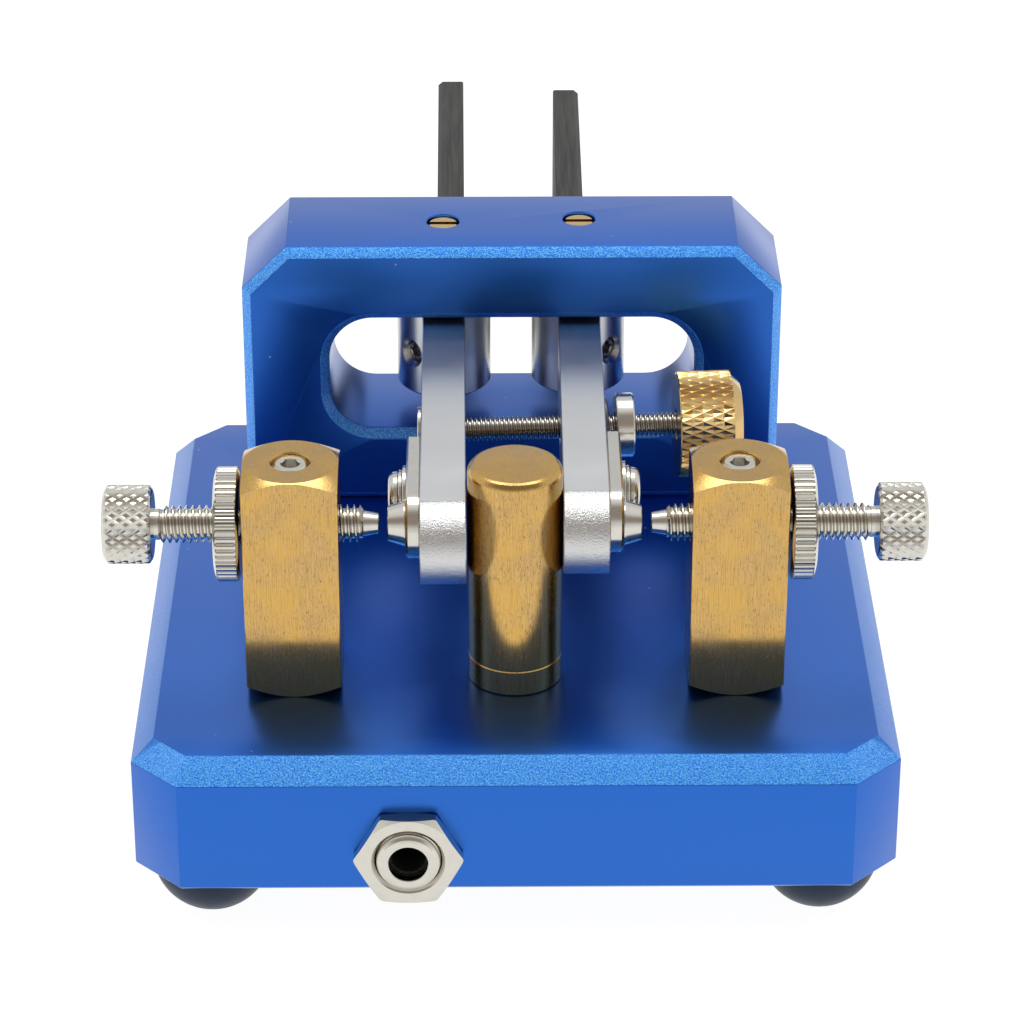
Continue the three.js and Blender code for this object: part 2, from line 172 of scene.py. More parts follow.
def groove_depth(phase):
    phase %= 1
    stations = THREAD_SHAPE + ((1, 0),)
    for (p0, d0), (p1, d1) in zip(stations, stations[1:]):
        if phase <= p1:
            return d0 + (d1 - d0) * (phase - p0) / (p1 - p0)
    return 0


def thread(low, high, radius, pitch, segments=36):
    """A helical thread section whose ends run out to the core."""
    depth = 0.58 * pitch
    steps = len(THREAD_SHAPE)
    turns = math.ceil((high - low) / pitch) + 1

    def section(solid):
        rows = []
        for turn in range(turns):
            for phase, _ in THREAD_SHAPE:
                row = []
                for i in range(segments):
                    share = i / segments
                    height = min(max(low + pitch * (turn + phase - 1 + share), low), high)
                    r = radius - depth * groove_depth((height - low) / pitch - share)
                    r = min(r, radius - depth + min(height - low, high - height) * 1.2)
                    row.append((r * math.cos(2 * math.pi * share), r * math.sin(2 * math.pi * share), height))
                rows.append(solid.ring(row))
        last = len(rows) - 1
        for j in range(last):
            lower, upper = rows[j], rows[j + 1]
            for i in range(segments - 1):
                solid.faces.append((lower[i], lower[i + 1], upper[i + 1], upper[i]))
            seam = rows[min(j + steps, last)][0], rows[min(j + 1 + steps, last)][0]
            solid.faces.append((lower[-1], seam[0], seam[1], upper[-1]))
        end = solid.ring(circle(radius - depth, high, segments))
        solid.join(rows[-1], end)
        return rows[0], end

    return section


def diamond_knurl(low, high, radius, depth, count, pitch, floor=0.25, fine=4):
    """Two crossing sets of raised ridges. Cells follow the ridges, so every edge is a clean line."""
    cells = round((high - low) / (pitch / 2))
    columns, rows_wanted = 2 * count * fine, cells * fine

    def hollow(a, b):
        near = min(1 - abs(2 * ((a + b) / 2 % 1) - 1), 1 - abs(2 * ((a - b) / 2 % 1) - 1))
        return min(1, near / (1 - floor))

    def section(solid):
        rows = []
        for j in range(rows_wanted + 1):
            height = low + (high - low) * j / rows_wanted
            row = []
            for i in range(columns):
                r = radius - depth * hollow(i / fine, j / fine)
                angle = 2 * math.pi * i / columns
                row.append((r * math.cos(angle), r * math.sin(angle), height))
            rows.append(solid.ring(row))
        for j in range(rows_wanted):
            for i in range(columns):
                k = (i + 1) % columns
                a, b, c, d = rows[j][i], rows[j][k], rows[j + 1][k], rows[j + 1][i]
                if (i // fine + j // fine) % 2:
                    solid.faces += [(a, b, d), (b, c, d)]
                else:
                    solid.faces += [(a, b, c), (a, c, d)]
        return rows[0], rows[-1]

    return section


def straight_knurl(low, high, radius, depth, count, rim=0.1):
    """Grooves along the axis that stop short of both rims."""
    shape = (0.0, 0.75, 1.0, 1.0, 1.0, 0.75)
    columns = count * len(shape)

    def section(solid):
        rows = []
        for height, cut in ((low, 0), (low + rim, 1), (high - rim, 1), (high, 0)):
            row = []
            for i in range(columns):
                r = radius - depth * cut * (1 - shape[i % len(shape)])
                angle = 2 * math.pi * i / columns
                row.append((r * math.cos(angle), r * math.sin(angle), height))
            rows.append(solid.ring(row))
        for lower, upper in zip(rows, rows[1:]):
            solid.join(lower, upper)
        return rows[0], rows[-1]

    return section


def inset(loop, distance):
    """A closed outline moved towards its left-hand side, which is where its material lies."""
    moved = []
    for i, point in enumerate(loop):
        before = (point - loop[i - 1]).normalized()
        after = (loop[(i + 1) % len(loop)] - point).normalized()
        left = Vector((-before.y, before.x)) + Vector((-after.y, after.x))
        moved.append(point + left * distance / (1 + before.dot(after)))
    return moved


def prism(loops, *edge_profile):
    """Outlines pushed along Z. The profile gives (inset, height) rings from one end to the other."""
    solid = Solid()
    rings = []
    for loop in loops:
        rows = []
        for distance, height in edge_profile:
            rows.append(solid.ring([(p.x, p.y, height) for p in inset(loop, distance)]))
        for lower, upper in zip(rows, rows[1:]):
            solid.join(lower, upper)
        rings.append((rows[0], rows[-1]))
    for end in (0, 1):
        corners = [index for pair in rings for index in pair[end]]
        triangles = tessellate_polygon([[solid.points[i] for i in pair[end]] for pair in rings])
        solid.faces += [tuple(corners[i] for i in triangle) for triangle in triangles]
    return solid


def eased(points, radius, steps=2):
    """The outline with its corners rounded a little."""
    loop = []
    for i, point in enumerate(points):
        start = point + (points[i - 1] - point).normalized() * radius
        end = point + (points[(i + 1) % len(points)] - point).normalized() * radius
        for k in range(steps + 1):
            t = k / steps
            loop.append(start * (1 - t) ** 2 + point * 2 * t * (1 - t) + end * t**2)
    return loop


def outline(*points):
    return [Vector(p) for p in points]


def rounded_rect(x0, x1, y0, y1, radii, steps=12):
    """Anticlockwise from the low-low corner, with one radius for each corner."""
    corners = ((x0, y0, 1, 1), (x1, y0, -1, 1), (x1, y1, -1, -1), (x0, y1, 1, -1))
    loop = []
    for k, ((x, y, sx, sy), r) in enumerate(zip(corners, radii)):
        start = math.pi + k * math.pi / 2
        count = steps if r > 0.3 else 2
        for i in range(count + 1):
            a = start + math.pi / 2 * i / count
            loop.append(Vector((x + sx * r + r * math.cos(a), y + sy * r + r * math.sin(a))))
    return [p for i, p in enumerate(loop) if (p - loop[i - 1]).length > WELD]


def hexagon(across_flats):
    r = across_flats / 2 / math.cos(math.pi / 6)
    turns = [math.pi / 3 * i for i in range(6)]
    return [Vector((r * math.cos(a), r * math.sin(a))) for a in turns]


def plug(radius, low, high, segments=48):
    """A plain round tool for drilling."""
    return turned((0, low), (radius, low), (radius, high), (0, high), segments=segments)


def countersunk(radius, surface, depth, lip, segments=48):
    """A drill that leaves a small chamfer where the hole meets the surface."""
    return turned((0, surface - depth), (radius, surface - depth), (radius, surface - lip),
                  (radius + 2 * lip, surface + lip), (0, surface + lip), segments=segments)


def block(x, y, z, ease=0):
    loop = outline((x[0], y[0]), (x[1], y[0]), (x[1], y[1]), (x[0], y[1]))
    return prism([eased(loop, ease) if ease else loop], (0, z[0]), (0, z[1]))


def drilled(line, radius, low, high, segments=48):
    """A step for carve: a round hole along the Z of these axes."""
    return CUT, plug(radius, low, high, segments).moved(line)


def temporary(shape):
    mesh = shape.mesh() if isinstance(shape, Solid) else shape
    obj = bpy.data.objects.new("temporary", mesh)
    bpy.context.scene.collection.objects.link(obj)
    return obj


def settled(obj):
    """The object's mesh with its modifiers applied."""
    bpy.context.view_layer.update()
    return bpy.data.meshes.new_from_object(obj.evaluated_get(bpy.context.evaluated_depsgraph_get()))


def carve(shape, *steps):
    """The shape after each (operation, tool) in turn."""
    body = temporary(shape)
    tools = [temporary(tool) for _, tool in steps]
    for (operation, _), tool in zip(steps, tools):
        modifier = body.modifiers.new("carve", "BOOLEAN")
        modifier.operation = operation
        modifier.solver = "EXACT"
        modifier.object = tool
    mesh = settled(body)
    for obj in (body, *tools):
        bpy.data.objects.remove(obj)
    return mesh


def bevelled(shape, width, segments=1, angle=30):
    body = temporary(shape)
    modifier = body.modifiers.new("edge", "BEVEL")
    modifier.width = width
    modifier.segments = segments
    modifier.limit_method = "ANGLE"
    modifier.angle_limit = math.radians(angle)
    mesh = settled(body)
    bpy.data.objects.remove(body)
    return mesh


def moved_mesh(mesh, matrix):
    mesh.transform(matrix)
    return mesh


SMOOTH_ANGLE = 14


def piece(node, shape, finish, local=None):
    """Puts a fine mesh in place of a CAD node, with its texture in the local axes."""
    local = local or Matrix()
    mesh = shape.mesh() if isinstance(shape, Solid) else shape
    mesh.name = f"{node}_mesh"
    mesh.transform(Matrix.Scale(MM, 4) @ local.inverted())
    mesh.polygons.foreach_set("use_smooth", [True] * len(mesh.polygons))
    mesh.set_sharp_from_angle(angle=math.radians(SMOOTH_ANGLE))
    mesh.materials.clear()
    mesh.materials.append(finish)
    obj = bpy.data.objects.new(f"{node}_piece", mesh)
    bpy.context.scene.collection.objects.link(obj)
    place = local.copy()
    place.translation = ORIGIN + local.translation * MM
    obj.matrix_world = place
    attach(obj, BODY_OF[node])
    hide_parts(node)
    return obj


# ---- materials ----
class Finish:
    """A Principled material with its texture in the piece's own axes, in millimetres."""

    def __init__(self, name, **values):
        self.material = bpy.data.materials.new(name)
        self.material.use_nodes = True
        self.tree = self.material.node_tree
        self.shader = self.tree.nodes["Principled BSDF"]
        scale = self.add("ShaderNodeMapping", Scale=(1 / MM,) * 3)
        self.link(self.add("ShaderNodeTexCoord").outputs["Object"], scale.inputs["Vector"])
        self.place = scale.outputs["Vector"]
        for key, value in values.items():
            self.set(key.replace("_", " "), value)

    def add(self, kind, settings=(), **inputs):
        node = self.tree.nodes.new(kind)
        for key, value in settings:
            setattr(node, key, value)
        for key, value in inputs.items():
            self.feed(node.inputs[key], value)
        return node

    def link(self, output, socket):
        self.tree.links.new(output, socket)

    def feed(self, socket, value):
        if isinstance(value, bpy.types.NodeSocket):
            self.link(value, socket)
        else:
            if socket.type == "RGBA" and len(value) == 3:
                value = (*value, 1)
            socket.default_value = value

    def set(self, key, value):
        self.feed(self.shader.inputs[key], value)

    def stretched(self, *scale):
        return self.add("ShaderNodeMapping", Vector=self.place, Scale=scale).outputs["Vector"]

    def noise(self, scale, detail=2, roughness=0.5, vector=None):
        """Noise with features about 1 / scale millimetres wide."""
        node = self.add("ShaderNodeTexNoise", Vector=vector or self.place, Scale=scale, Detail=detail,
                        Roughness=roughness)
        return node.outputs["Fac"]

    def ramp(self, value, low, high, to_low=0.0, to_high=1.0):
        node = self.add("ShaderNodeMapRange", Value=value)
        for key, number in (("From Min", low), ("From Max", high), ("To Min", to_low), ("To Max", to_high)):
            node.inputs[key].default_value = number
        return node.outputs["Result"]

    def math(self, operation, a, b=0.0):
        node = self.add("ShaderNodeMath", [("operation", operation)])
        self.feed(node.inputs[0], a)
        self.feed(node.inputs[1], b)
        return node.outputs[0]

    def mix(self, share, a, b):
        node = self.add("ShaderNodeMix", [("data_type", "RGBA")])
        self.feed(node.inputs[0], share)
        self.feed(node.inputs[6], a)
        self.feed(node.inputs[7], b)
        return node.outputs[2]

    def between(self, value, *spans):
        """1 well inside any of the spans, 0 outside them."""
        total = 0.0
        for low, high in spans:
            rise = self.ramp(value, low + 0.03, low + 0.06)
            fall = self.ramp(value, high - 0.03, high - 0.06)
            total = self.math("ADD", total, self.math("MULTIPLY", rise, fall))
        return total

    def part(self, axis):
        """One coordinate of the place, in millimetres."""
        return self.add("ShaderNodeSeparateXYZ", Vector=self.place).outputs[axis]

    def radius(self):
        x, y = self.part("X"), self.part("Y")
        square = self.math("ADD", self.math("MULTIPLY", x, x), self.math("MULTIPLY", y, y))
        return self.math("SQRT", square)

    def bump(self, height, strength, depth_mm=0.02):
        node = self.add("ShaderNodeBump", Height=height, Strength=strength, Distance=depth_mm * MM)
        if self.shader.inputs["Normal"].links:
            self.link(self.shader.inputs["Normal"].links[0].from_socket, node.inputs["Normal"])
        self.set("Normal", node.outputs["Normal"])


def blue_anodised(name, axis="Z", *chamfers):
    """Dyed, faintly glossy oxide on aluminium. Chamfers, given as spans along an axis, have a coarse
    grain with a painted highlight of lighter blue facets, both strongest within 5 mm of the piece's front."""
    f = Finish(name, Metallic=1.0, Coat_Weight=0.65, Coat_Roughness=0.28, Coat_IOR=1.5)
    cloud = f.noise(0.05, 3)
    edges = f.between(f.part(axis), *chamfers)
    # Mask for the chamfer grain (roughness, bump) and for the painted highlight: full within 5 mm of the front,
    # 0.3 behind.
    coarse = f.math("MULTIPLY", edges, f.ramp(f.part("Y"), 5.4, 5.0, 0.3, 1))
    grain = f.noise(6.2, 2, 0.6)
    base = f.mix(cloud, (0.0025, 0.112, 0.52), (0.0035, 0.124, 0.56))
    # Painted highlight: lighter blue facets stand in for light glinting off the grained chamfers.
    painted_sparkle_colour = f.mix(f.ramp(grain, 0.4, 0.62), (0.02, 0.21, 0.88), (0.16, 0.56, 1.0))
    base = f.mix(coarse, base, painted_sparkle_colour)
    cell = f.add("ShaderNodeTexVoronoi", [("feature", "F1")], Vector=f.place, Scale=0.33)
    near = f.ramp(cell.outputs["Distance"], 0.03, 0.05, 1, 0)
    chance = f.add("ShaderNodeSeparateColor", Color=cell.outputs["Color"]).outputs["Red"]
    dust = f.math("MULTIPLY", near, f.ramp(chance, 0.62, 0.66))
    f.set("Base Color", f.mix(f.math("MULTIPLY", dust, 0.6), base, (0.4, 0.5, 0.7)))
    f.set("Metallic", f.math("SUBTRACT", 1.0, dust))
    rough = f.ramp(cloud, 0.3, 0.7, 0.31, 0.36)
    f.set("Roughness", f.math("ADD", rough, f.math("MULTIPLY", coarse, 0.17)))
    f.bump(f.math("MULTIPLY", grain, f.math("ADD", 0.04, coarse)), 1.0, 0.14)
    return f.material


def aged_brass(name):
    """Drawn brass bar: upright scratches, brown patches and small dark pits."""
    f = Finish(name, Metallic=1.0)
    scratch = f.noise(1.0, 4, 0.7, f.stretched(9, 9, 0.3))
    patch = f.noise(0.22, 4, 0.6)
    pit = f.noise(1.0, 3, 0.75, f.stretched(9, 9, 1.6))
    colour = f.mix(f.ramp(patch, 0.42, 0.6), (0.60, 0.36, 0.095), (0.52, 0.33, 0.125))
    colour = f.mix(f.ramp(scratch, 0.42, 0.7, 0, 0.5), colour, (0.74, 0.50, 0.20))
    colour = f.mix(f.ramp(scratch, 0.45, 0.3, 0, 0.6), colour, (0.33, 0.18, 0.05))
    pitted = f.math("MULTIPLY", f.ramp(pit, 0.57, 0.63), f.ramp(patch, 0.4, 0.55, 0.25, 1))
    f.set("Base Color", f.mix(f.math("MULTIPLY", pitted, 0.75), colour, (0.16, 0.09, 0.035)))
    rough = f.ramp(patch, 0.35, 0.65, 0.10, 0.16)
    f.set("Roughness", f.math("ADD", rough, f.math("MULTIPLY", pitted, 0.25)))
    f.bump(scratch, 0.6, 0.02)
    return f.material


def bright_brass():
    """Turned brass without the bar's brown patches."""
    f = Finish("bright_brass", Metallic=1.0)
    patch = f.noise(0.7, 3)
    f.set("Base Color", f.mix(patch, (0.74, 0.52, 0.24), (0.62, 0.42, 0.17)))
    f.set("Roughness", f.ramp(patch, 0.3, 0.7, 0.14, 0.22))
    f.bump(f.noise(5, 3), 0.3, 0.012)
    return f.material


def plated(name, colour, low_roughness, high_roughness):
    """Bright plate with the faint rings that turning leaves."""
    f = Finish(name, Metallic=1.0)
    haze = f.noise(0.8, 3)
    f.set("Base Color", f.mix(haze, colour, tuple(c * 0.88 for c in colour)))
    f.set("Roughness", f.ramp(haze, 0.3, 0.7, low_roughness, high_roughness))
    across, along = f.math("MULTIPLY", f.radius(), 9), f.math("MULTIPLY", f.part("Z"), 9)
    rings = f.noise(1.0, 2, 0.6, f.add("ShaderNodeCombineXYZ", X=across, Y=along).outputs[0])
    f.bump(rings, 0.15, 0.008)
    return f.material


def silver_anodised(name, nose=-1000):
    """Clear oxide on aluminium: satin flats, and a coarser nose in front of the given line."""
    f = Finish(name, Metallic=1.0, Coat_Weight=0.15, Coat_Roughness=0.3)
    coarse = f.ramp(f.part("Y"), nose + 0.05, nose)
    grain = f.noise(5.5, 2, 0.65)
    cloud = f.noise(0.15, 3)
    f.set("Base Color", f.mix(cloud, (0.61, 0.615, 0.61), (0.66, 0.66, 0.65)))
    f.set("Roughness", f.ramp(cloud, 0.3, 0.7, 0.27, 0.32))
    f.bump(f.math("MULTIPLY", grain, f.math("ADD", 0.1, coarse)), 1.0, 0.075)
    return f.material


def black_blade():
    """Dark sawn laminate with streaks along its length."""
    f = Finish("black_blade", Specular_IOR_Level=0.35)
    streak = f.noise(1.0, 4, 0.65, f.stretched(2.6, 0.1, 2.6))
    f.set("Base Color", f.mix(f.ramp(streak, 0.35, 0.65), (0.010, 0.010, 0.009), (0.050, 0.049, 0.045)))
    f.set("Roughness", f.ramp(streak, 0.3, 0.7, 0.48, 0.6))
    f.bump(f.noise(6, 3), 0.2, 0.01)
    return f.material


def moulded(name, colour, roughness, shine=0.5):
    """Rubber or plastic as it leaves the mould."""
    f = Finish(name, Specular_IOR_Level=shine)
    haze = f.noise(0.6, 3)
    f.set("Base Color", f.mix(haze, colour, tuple(c * 0.8 for c in colour)))
    f.set("Roughness", f.ramp(haze, 0.3, 0.7, roughness, roughness + 0.08))
    f.bump(f.noise(8, 2), 0.1, 0.01)
    return f.material


BLUE = blue_anodised("blue_anodised")
BRASS_BAR = aged_brass("brass_bar")
BRASS = bright_brass()
NICKEL = plated("nickel", (0.68, 0.655, 0.59), 0.14, 0.22)
STEEL = plated("steel", (0.50, 0.48, 0.445), 0.2, 0.3)
SPRING = plated("spring_steel", (0.16, 0.16, 0.165), 0.3, 0.4)
SILVER = silver_anodised("silver_anodised")
BLADE_BLACK = black_blade()
BLACK = moulded("black_plastic", (0.02, 0.02, 0.02), 0.45)
RUBBER = moulded("rubber", (0.012, 0.026, 0.055), 0.35, 0.2)
NYLON = moulded("nylon", (0.72, 0.70, 0.62), 0.4)
RED = moulded("red_insulation", (0.42, 0.012, 0.008), 0.4)
GREEN = moulded("green_insulation", (0.01, 0.16, 0.03), 0.4)
CARRIED = {"nickel": NICKEL, "steel": STEEL, "spring_steel": SPRING, "nylon": NYLON, "black_plastic": BLACK,
           "red_insulation": RED, "green_insulation": GREEN, "brass": BRASS, "blue_anodised": BLUE,
           "silver_anodised": SILVER, "rubber": RUBBER}

# ---- base, bridge and feet ----
M4_HOLE = 2.06
PIVOT_HOLE = 1.85
PIN_HOLE = 1.55
BUSH_HOLE = 3.55
CENTRE_BOLT_HOLE = 2.4
BRIDGE_BOLT = {"hole": 2.3, "head": 4, "sunk": 5}
POST_INSULATOR = 3.4
POCKET = {"wall": 3, "step": 14.2, "back": 34, "roof": 10, "narrow": 24.5, "wide": 29.5}
WINDOW = {"half": 20.7, "floor": 9, "height": 13.8, "radius": 5}
FOOT_FLAT = 1.9


def cut_corners(x, y0, y1, corner):
    return outline((-x + corner, y0), (x - corner, y0), (x, y0 + corner), (x, y1 - corner),
                   (x - corner, y1), (-x + corner, y1), (-x, y1 - corner), (-x, y0 + corner))


def make_base():
    _, high = span("base_plate")
    depth, top = high.y, high.z
    chamfer, corner = 2.4, 5
    loop = cut_corners(high.x, 0, depth, corner)
    body = bevelled(prism([loop], (0.35, 0), (0, 0.35), (0, top - chamfer), (chamfer, top)), 0.08, 2)
    jack, bolt, post = middle("jack_bush"), middle("right_bridge_bolt"), middle("right_contact_post")
    wall, step, roof = POCKET["wall"], POCKET["step"], POCKET["roof"]
    narrow, wide = POCKET["narrow"], POCKET["wide"]
    steps = [
        (CUT, block((-narrow, narrow), (wall, step + 1), (-1, roof), 1)),
        (CUT, block((-wide, wide), (step, POCKET["back"]), (-1, roof), 1)),
        drilled(axes((jack.x, 0, jack.z), BACK), BUSH_HOLE, -1, wall + 1),
        drilled(axes((0, post.y, 0)), CENTRE_BOLT_HOLE, roof - 1, top + 1),
    ]
    for _, s in SIDES:
        under_post, under_bridge = axes((s * post.x, post.y, 0)), axes((s * bolt.x, bolt.y, 0))
        steps += [drilled(under_post, POST_INSULATOR, roof - 1, top + 1),
                  drilled(under_bridge, BRIDGE_BOLT["hole"], -1, top + 1),
                  drilled(under_bridge, BRIDGE_BOLT["head"], -1, BRIDGE_BOLT["sunk"])]
    finish = blue_anodised("blue_base", "Z", (top - chamfer, top))
    piece("base_plate", carve(body, *steps), finish)


def make_bridge():
    low, high = span("bridge")
    corner, edge = 5, 1.05
    x, z0, z1, deep = high.x, low.z, high.z, high.y - low.y
    outer = outline((-x, z0), (x, z0), (x, z1 - corner), (x - corner, z1), (-x + corner, z1),
                    (-x, z1 - corner))
    floor, r = z0 + WINDOW["floor"], WINDOW["radius"]
    window = rounded_rect(-WINDOW["half"], WINDOW["half"], floor, floor + WINDOW["height"], (r, r, r, r), 20)
    window.reverse()
    body = prism([outer, window], (edge, 0), (0, edge), (0, deep - edge), (edge, deep))
    body = bevelled(body.moved(axes((0, low.y, 0), BACK)), 0.07, 2)
    steps = []
    for name, _ in SIDES:
        pivot = middle(f"{name}_pivot_screw")
        pin = middle(f"{name}_pivot_pin")
        bolt = middle(f"{name}_bridge_bolt")
        steps += [(CUT, countersunk(PIVOT_HOLE, z1, 10, 0.12).moved(axes((pivot.x, pivot.y, 0)))),
                  drilled(axes((pin.x, pin.y, 0)), PIN_HOLE, floor - 5, floor + 1),
                  drilled(axes((bolt.x, bolt.y, 0)), M4_HOLE, z0 - 1, z0 + 10)]
    finish = blue_anodised("blue_bridge", "Y", (0, edge), (deep - edge, deep))
    piece("bridge", carve(body, *steps), finish, Matrix.Translation((0, low.y, 0)))


def make_feet():
    for node in ("foot_front_left", "foot_front_right", "foot_rear_left", "foot_rear_right"):
        low, high = span(node)
        place = axes(((low.x + high.x) / 2, (low.y + high.y) / 2, low.z))
        radius, height = (high.x - low.x) / 2, high.z - low.z
        centre = math.sqrt(radius**2 - FOOT_FLAT**2)
        start = math.asin(FOOT_FLAT / radius)
        end = math.pi - math.acos(max(-1, min(1, (centre - height) / radius)))
        arc = [start + (end - start) * i / 16 for i in range(17)]
        rings = [(radius * math.sin(a), centre - radius * math.cos(a)) for a in arc]
        rings[-1] = (rings[-1][0], height)
        dome = turned((0, 0), (FOOT_FLAT - 0.2, 0), *rings, (0, height), segments=72)
        piece(node, dome.moved(place), RUBBER, place)


# ---- screws ----
def hex_socket(size, low, high):
    return prism([hexagon(size)], (0, low), (0, high))


def set_screw(length, radius, pitch, socket, depth):
    """Grub screw with its socket at z = 0 and its point below."""
    body = turned((0, -length), (radius * 0.55, -length), thread(-length, -0.02, radius, pitch),
                  (radius * 0.72, 0), (0, 0), segments=36)
    return carve(body, (CUT, hex_socket(socket, -depth, 1)),
                 (CUT, countersunk(socket * 0.5, 0, 0.2, 0.12)))


def make_pivot_screws():
    for name, _ in SIDES:
        low, high = span(f"{name}_pivot_screw")
        place = axes(((low.x + high.x) / 2, (low.y + high.y) / 2, high.z))
        length = high.z - low.z
        body = turned((0, -length), (0.25, -length), (1.2, -length + 1.6),
                      thread(-length + 2.2, -0.3, 1.78, 0.7), (1.5, -0.2), (1.62, -0.06), (1.55, 0), (0, 0),
                      segments=48)
        slot = block((-3, 3), (-0.36, 0.36), (-1.1, 1))
        piece(f"{name}_pivot_screw", moved_mesh(carve(body, (CUT, slot)), place), BRASS, place)


# ---- brass posts ----
POST_END = {"flat": 4.9, "slope": math.radians(30), "reach": 8}
BOLT_DEPTH = 10.5
SET_SCREW_RAISED = 0.3


def make_contact_posts():
    for name, _ in SIDES:
        low, high = span(f"{name}_contact_post")
        x, y, z0, z1 = (low.x + high.x) / 2, (low.y + high.y) / 2, low.z, high.z
        half = (high.x - low.x) / 2
        flat, reach = POST_END["flat"], POST_END["reach"]
        drop = (reach - flat) * math.tan(POST_END["slope"])
        upright = axes((x, y, 0))
        ends = turned((0, z0), (flat, z0), (reach, z0 + drop), (reach, z1 - drop), (flat + 0.06, z1 - 0.04),
                      (flat - 0.06, z1), (0, z1), segments=128).moved(upright)
        square = eased(outline((x - half, y - half), (x + half, y - half), (x + half, y + half),
                               (x - half, y + half)), 0.14)
        bar = prism([square], (0, z0 - 1), (0, z1 + 1))
        contact = middle(f"{name}_contact_screw")
        mesh = carve(bar, (COMMON, ends),
                     drilled(axes((x, y, contact.z), RIGHT), M4_HOLE, -reach, reach),
                     (CUT, countersunk(2.0, z1, z1 - contact.z, 0.16).moved(upright)),
                     drilled(upright, M4_HOLE, z0 - 1, z0 + BOLT_DEPTH))
        piece(f"{name}_contact_post", bevelled(mesh, 0.09, 1, 40), BRASS_BAR, axes((x, y, z0)))
        low, high = span(f"{name}_post_set_screw")
        place = axes((x, y, high.z + SET_SCREW_RAISED))
        screw = set_screw(high.z - low.z, 1.98, 0.7, 1.85, 0.9)
        piece(f"{name}_post_set_screw", moved_mesh(screw, place), NICKEL, place)


def make_centre_post():
    low, high = span("centre_post")
    place = axes(((low.x + high.x) / 2, (low.y + high.y) / 2, low.z))
    radius, height = (high.x - low.x) / 2, high.z - low.z
    bevel, drop, groove = 0.65, 0.8, 2.9
    body = turned((0, BOLT_DEPTH), (M4_HOLE, BOLT_DEPTH), (M4_HOLE, 0), (radius - 0.15, 0), (radius, 0.15),
                  (radius, groove - 0.12), (radius - 0.05, groove), (radius, groove + 0.12),
                  (radius, height - drop - 0.12), (radius - 0.04, height - drop + 0.06),
                  (radius - 0.16, height - 0.48), (radius - 0.38, height - 0.2),
                  (radius - bevel, height - 0.05), (radius - bevel - 0.25, height), (0, height), segments=128)
    piece("centre_post", body.moved(place), BRASS_BAR, place)


# ---- contact screws and lock nuts ----
def outward_axes(low, high, s, distance):
    """Axes on the line of a screw that points sideways, at a distance from the key's middle."""
    return axes((s * distance, (low.y + high.y) / 2, (low.z + high.z) / 2), Vector((s, 0, 0)))


def make_contact_screw(name, s):
    low, high = span(f"{name}_contact_screw")
    tip, end = sorted((abs(low.x), abs(high.x)))
    big = (high.z - low.z) / 2
    head, neck, cone = end - 5.1, end - 5.8, tip + 1.56
    knurl = diamond_knurl(head + 0.35, end - 0.45, big, 0.17, 26, 1.52, 0.45)
    body = turned((0, tip), (0.98, tip), (1.07, tip + 0.08), (1.34, cone), (1.4, cone + 0.02),
                  thread(cone + 0.05, neck, 1.98, 0.7, 48),
                  (1.65, neck + 0.05), (1.65, head), (big - 0.62, head), (big - 0.4, head + 0.08),
                  knurl, (big - 0.32, end - 0.22), (big - 0.62, end), (big - 1.2, end),
                  (big - 1.35, end - 0.05), (0, end - 0.05), segments=96)
    place = outward_axes(low, high, s, 0)
    piece(f"{name}_contact_screw", body.moved(place), NICKEL, place)


def make_lock_nut(name, s):
    low, high = span(f"{name}_lock_nut")
    width, radius = high.x - low.x, (high.z - low.z) / 2
    nut = turned((M4_HOLE, 0.35), (M4_HOLE + 0.35, 0), (radius - 0.75, 0), (radius - 0.28, 0.14),
                 straight_knurl(0.3, width - 0.3, radius, 0.3, 50),
                 (radius - 0.28, width - 0.14), (radius - 0.75, width), (M4_HOLE + 0.35, width),
                 (M4_HOLE, width - 0.35), segments=100, closed=True)
    place = outward_axes(low, high, s, min(abs(low.x), abs(high.x)))
    piece(f"{name}_lock_nut", nut.moved(place), NICKEL, place)


# ---- levers ----
# Heights and places along y are in the key's own axes. Widths run outward from the middle of a bar.
LEVER_TILT = math.radians(0.3)
BAR = {"half": 2.4, "bottom": 28.0, "lap": 76.5, "tongue": 0.75}
NOSE = {"long": 1.21, "tall": 1.015, "start": math.radians(10)}
HUB = {"radius": 5.35, "low": 26.8, "screw": 31.85}
BLADE = {"thick": 3.1, "from": 77, "corners": (1, 2.5, 0.25, 1)}
BLADE_SCREWS = {"front": 80, "rear": 85}
BLADE_SCREW_HEIGHT = 32.65
BLADE_SCREW_HOLE = 1.25
STRIP = {"gap": 0.02, "thick": 1.45, "height": 33.1}
ON_STRIP = BAR["half"] + STRIP["gap"] + STRIP["thick"] + 0.02
ROD_OFFSET = 0.375
# Each lever's stepped hole for the rod: radius, start and number of sides of each step.
ROD_HOLES = {"left": ((1.85, -4, 40), (2.35, -1.2, 48)), "right": ((2.1, -4, 40), (4.1, 0.1, 48))}


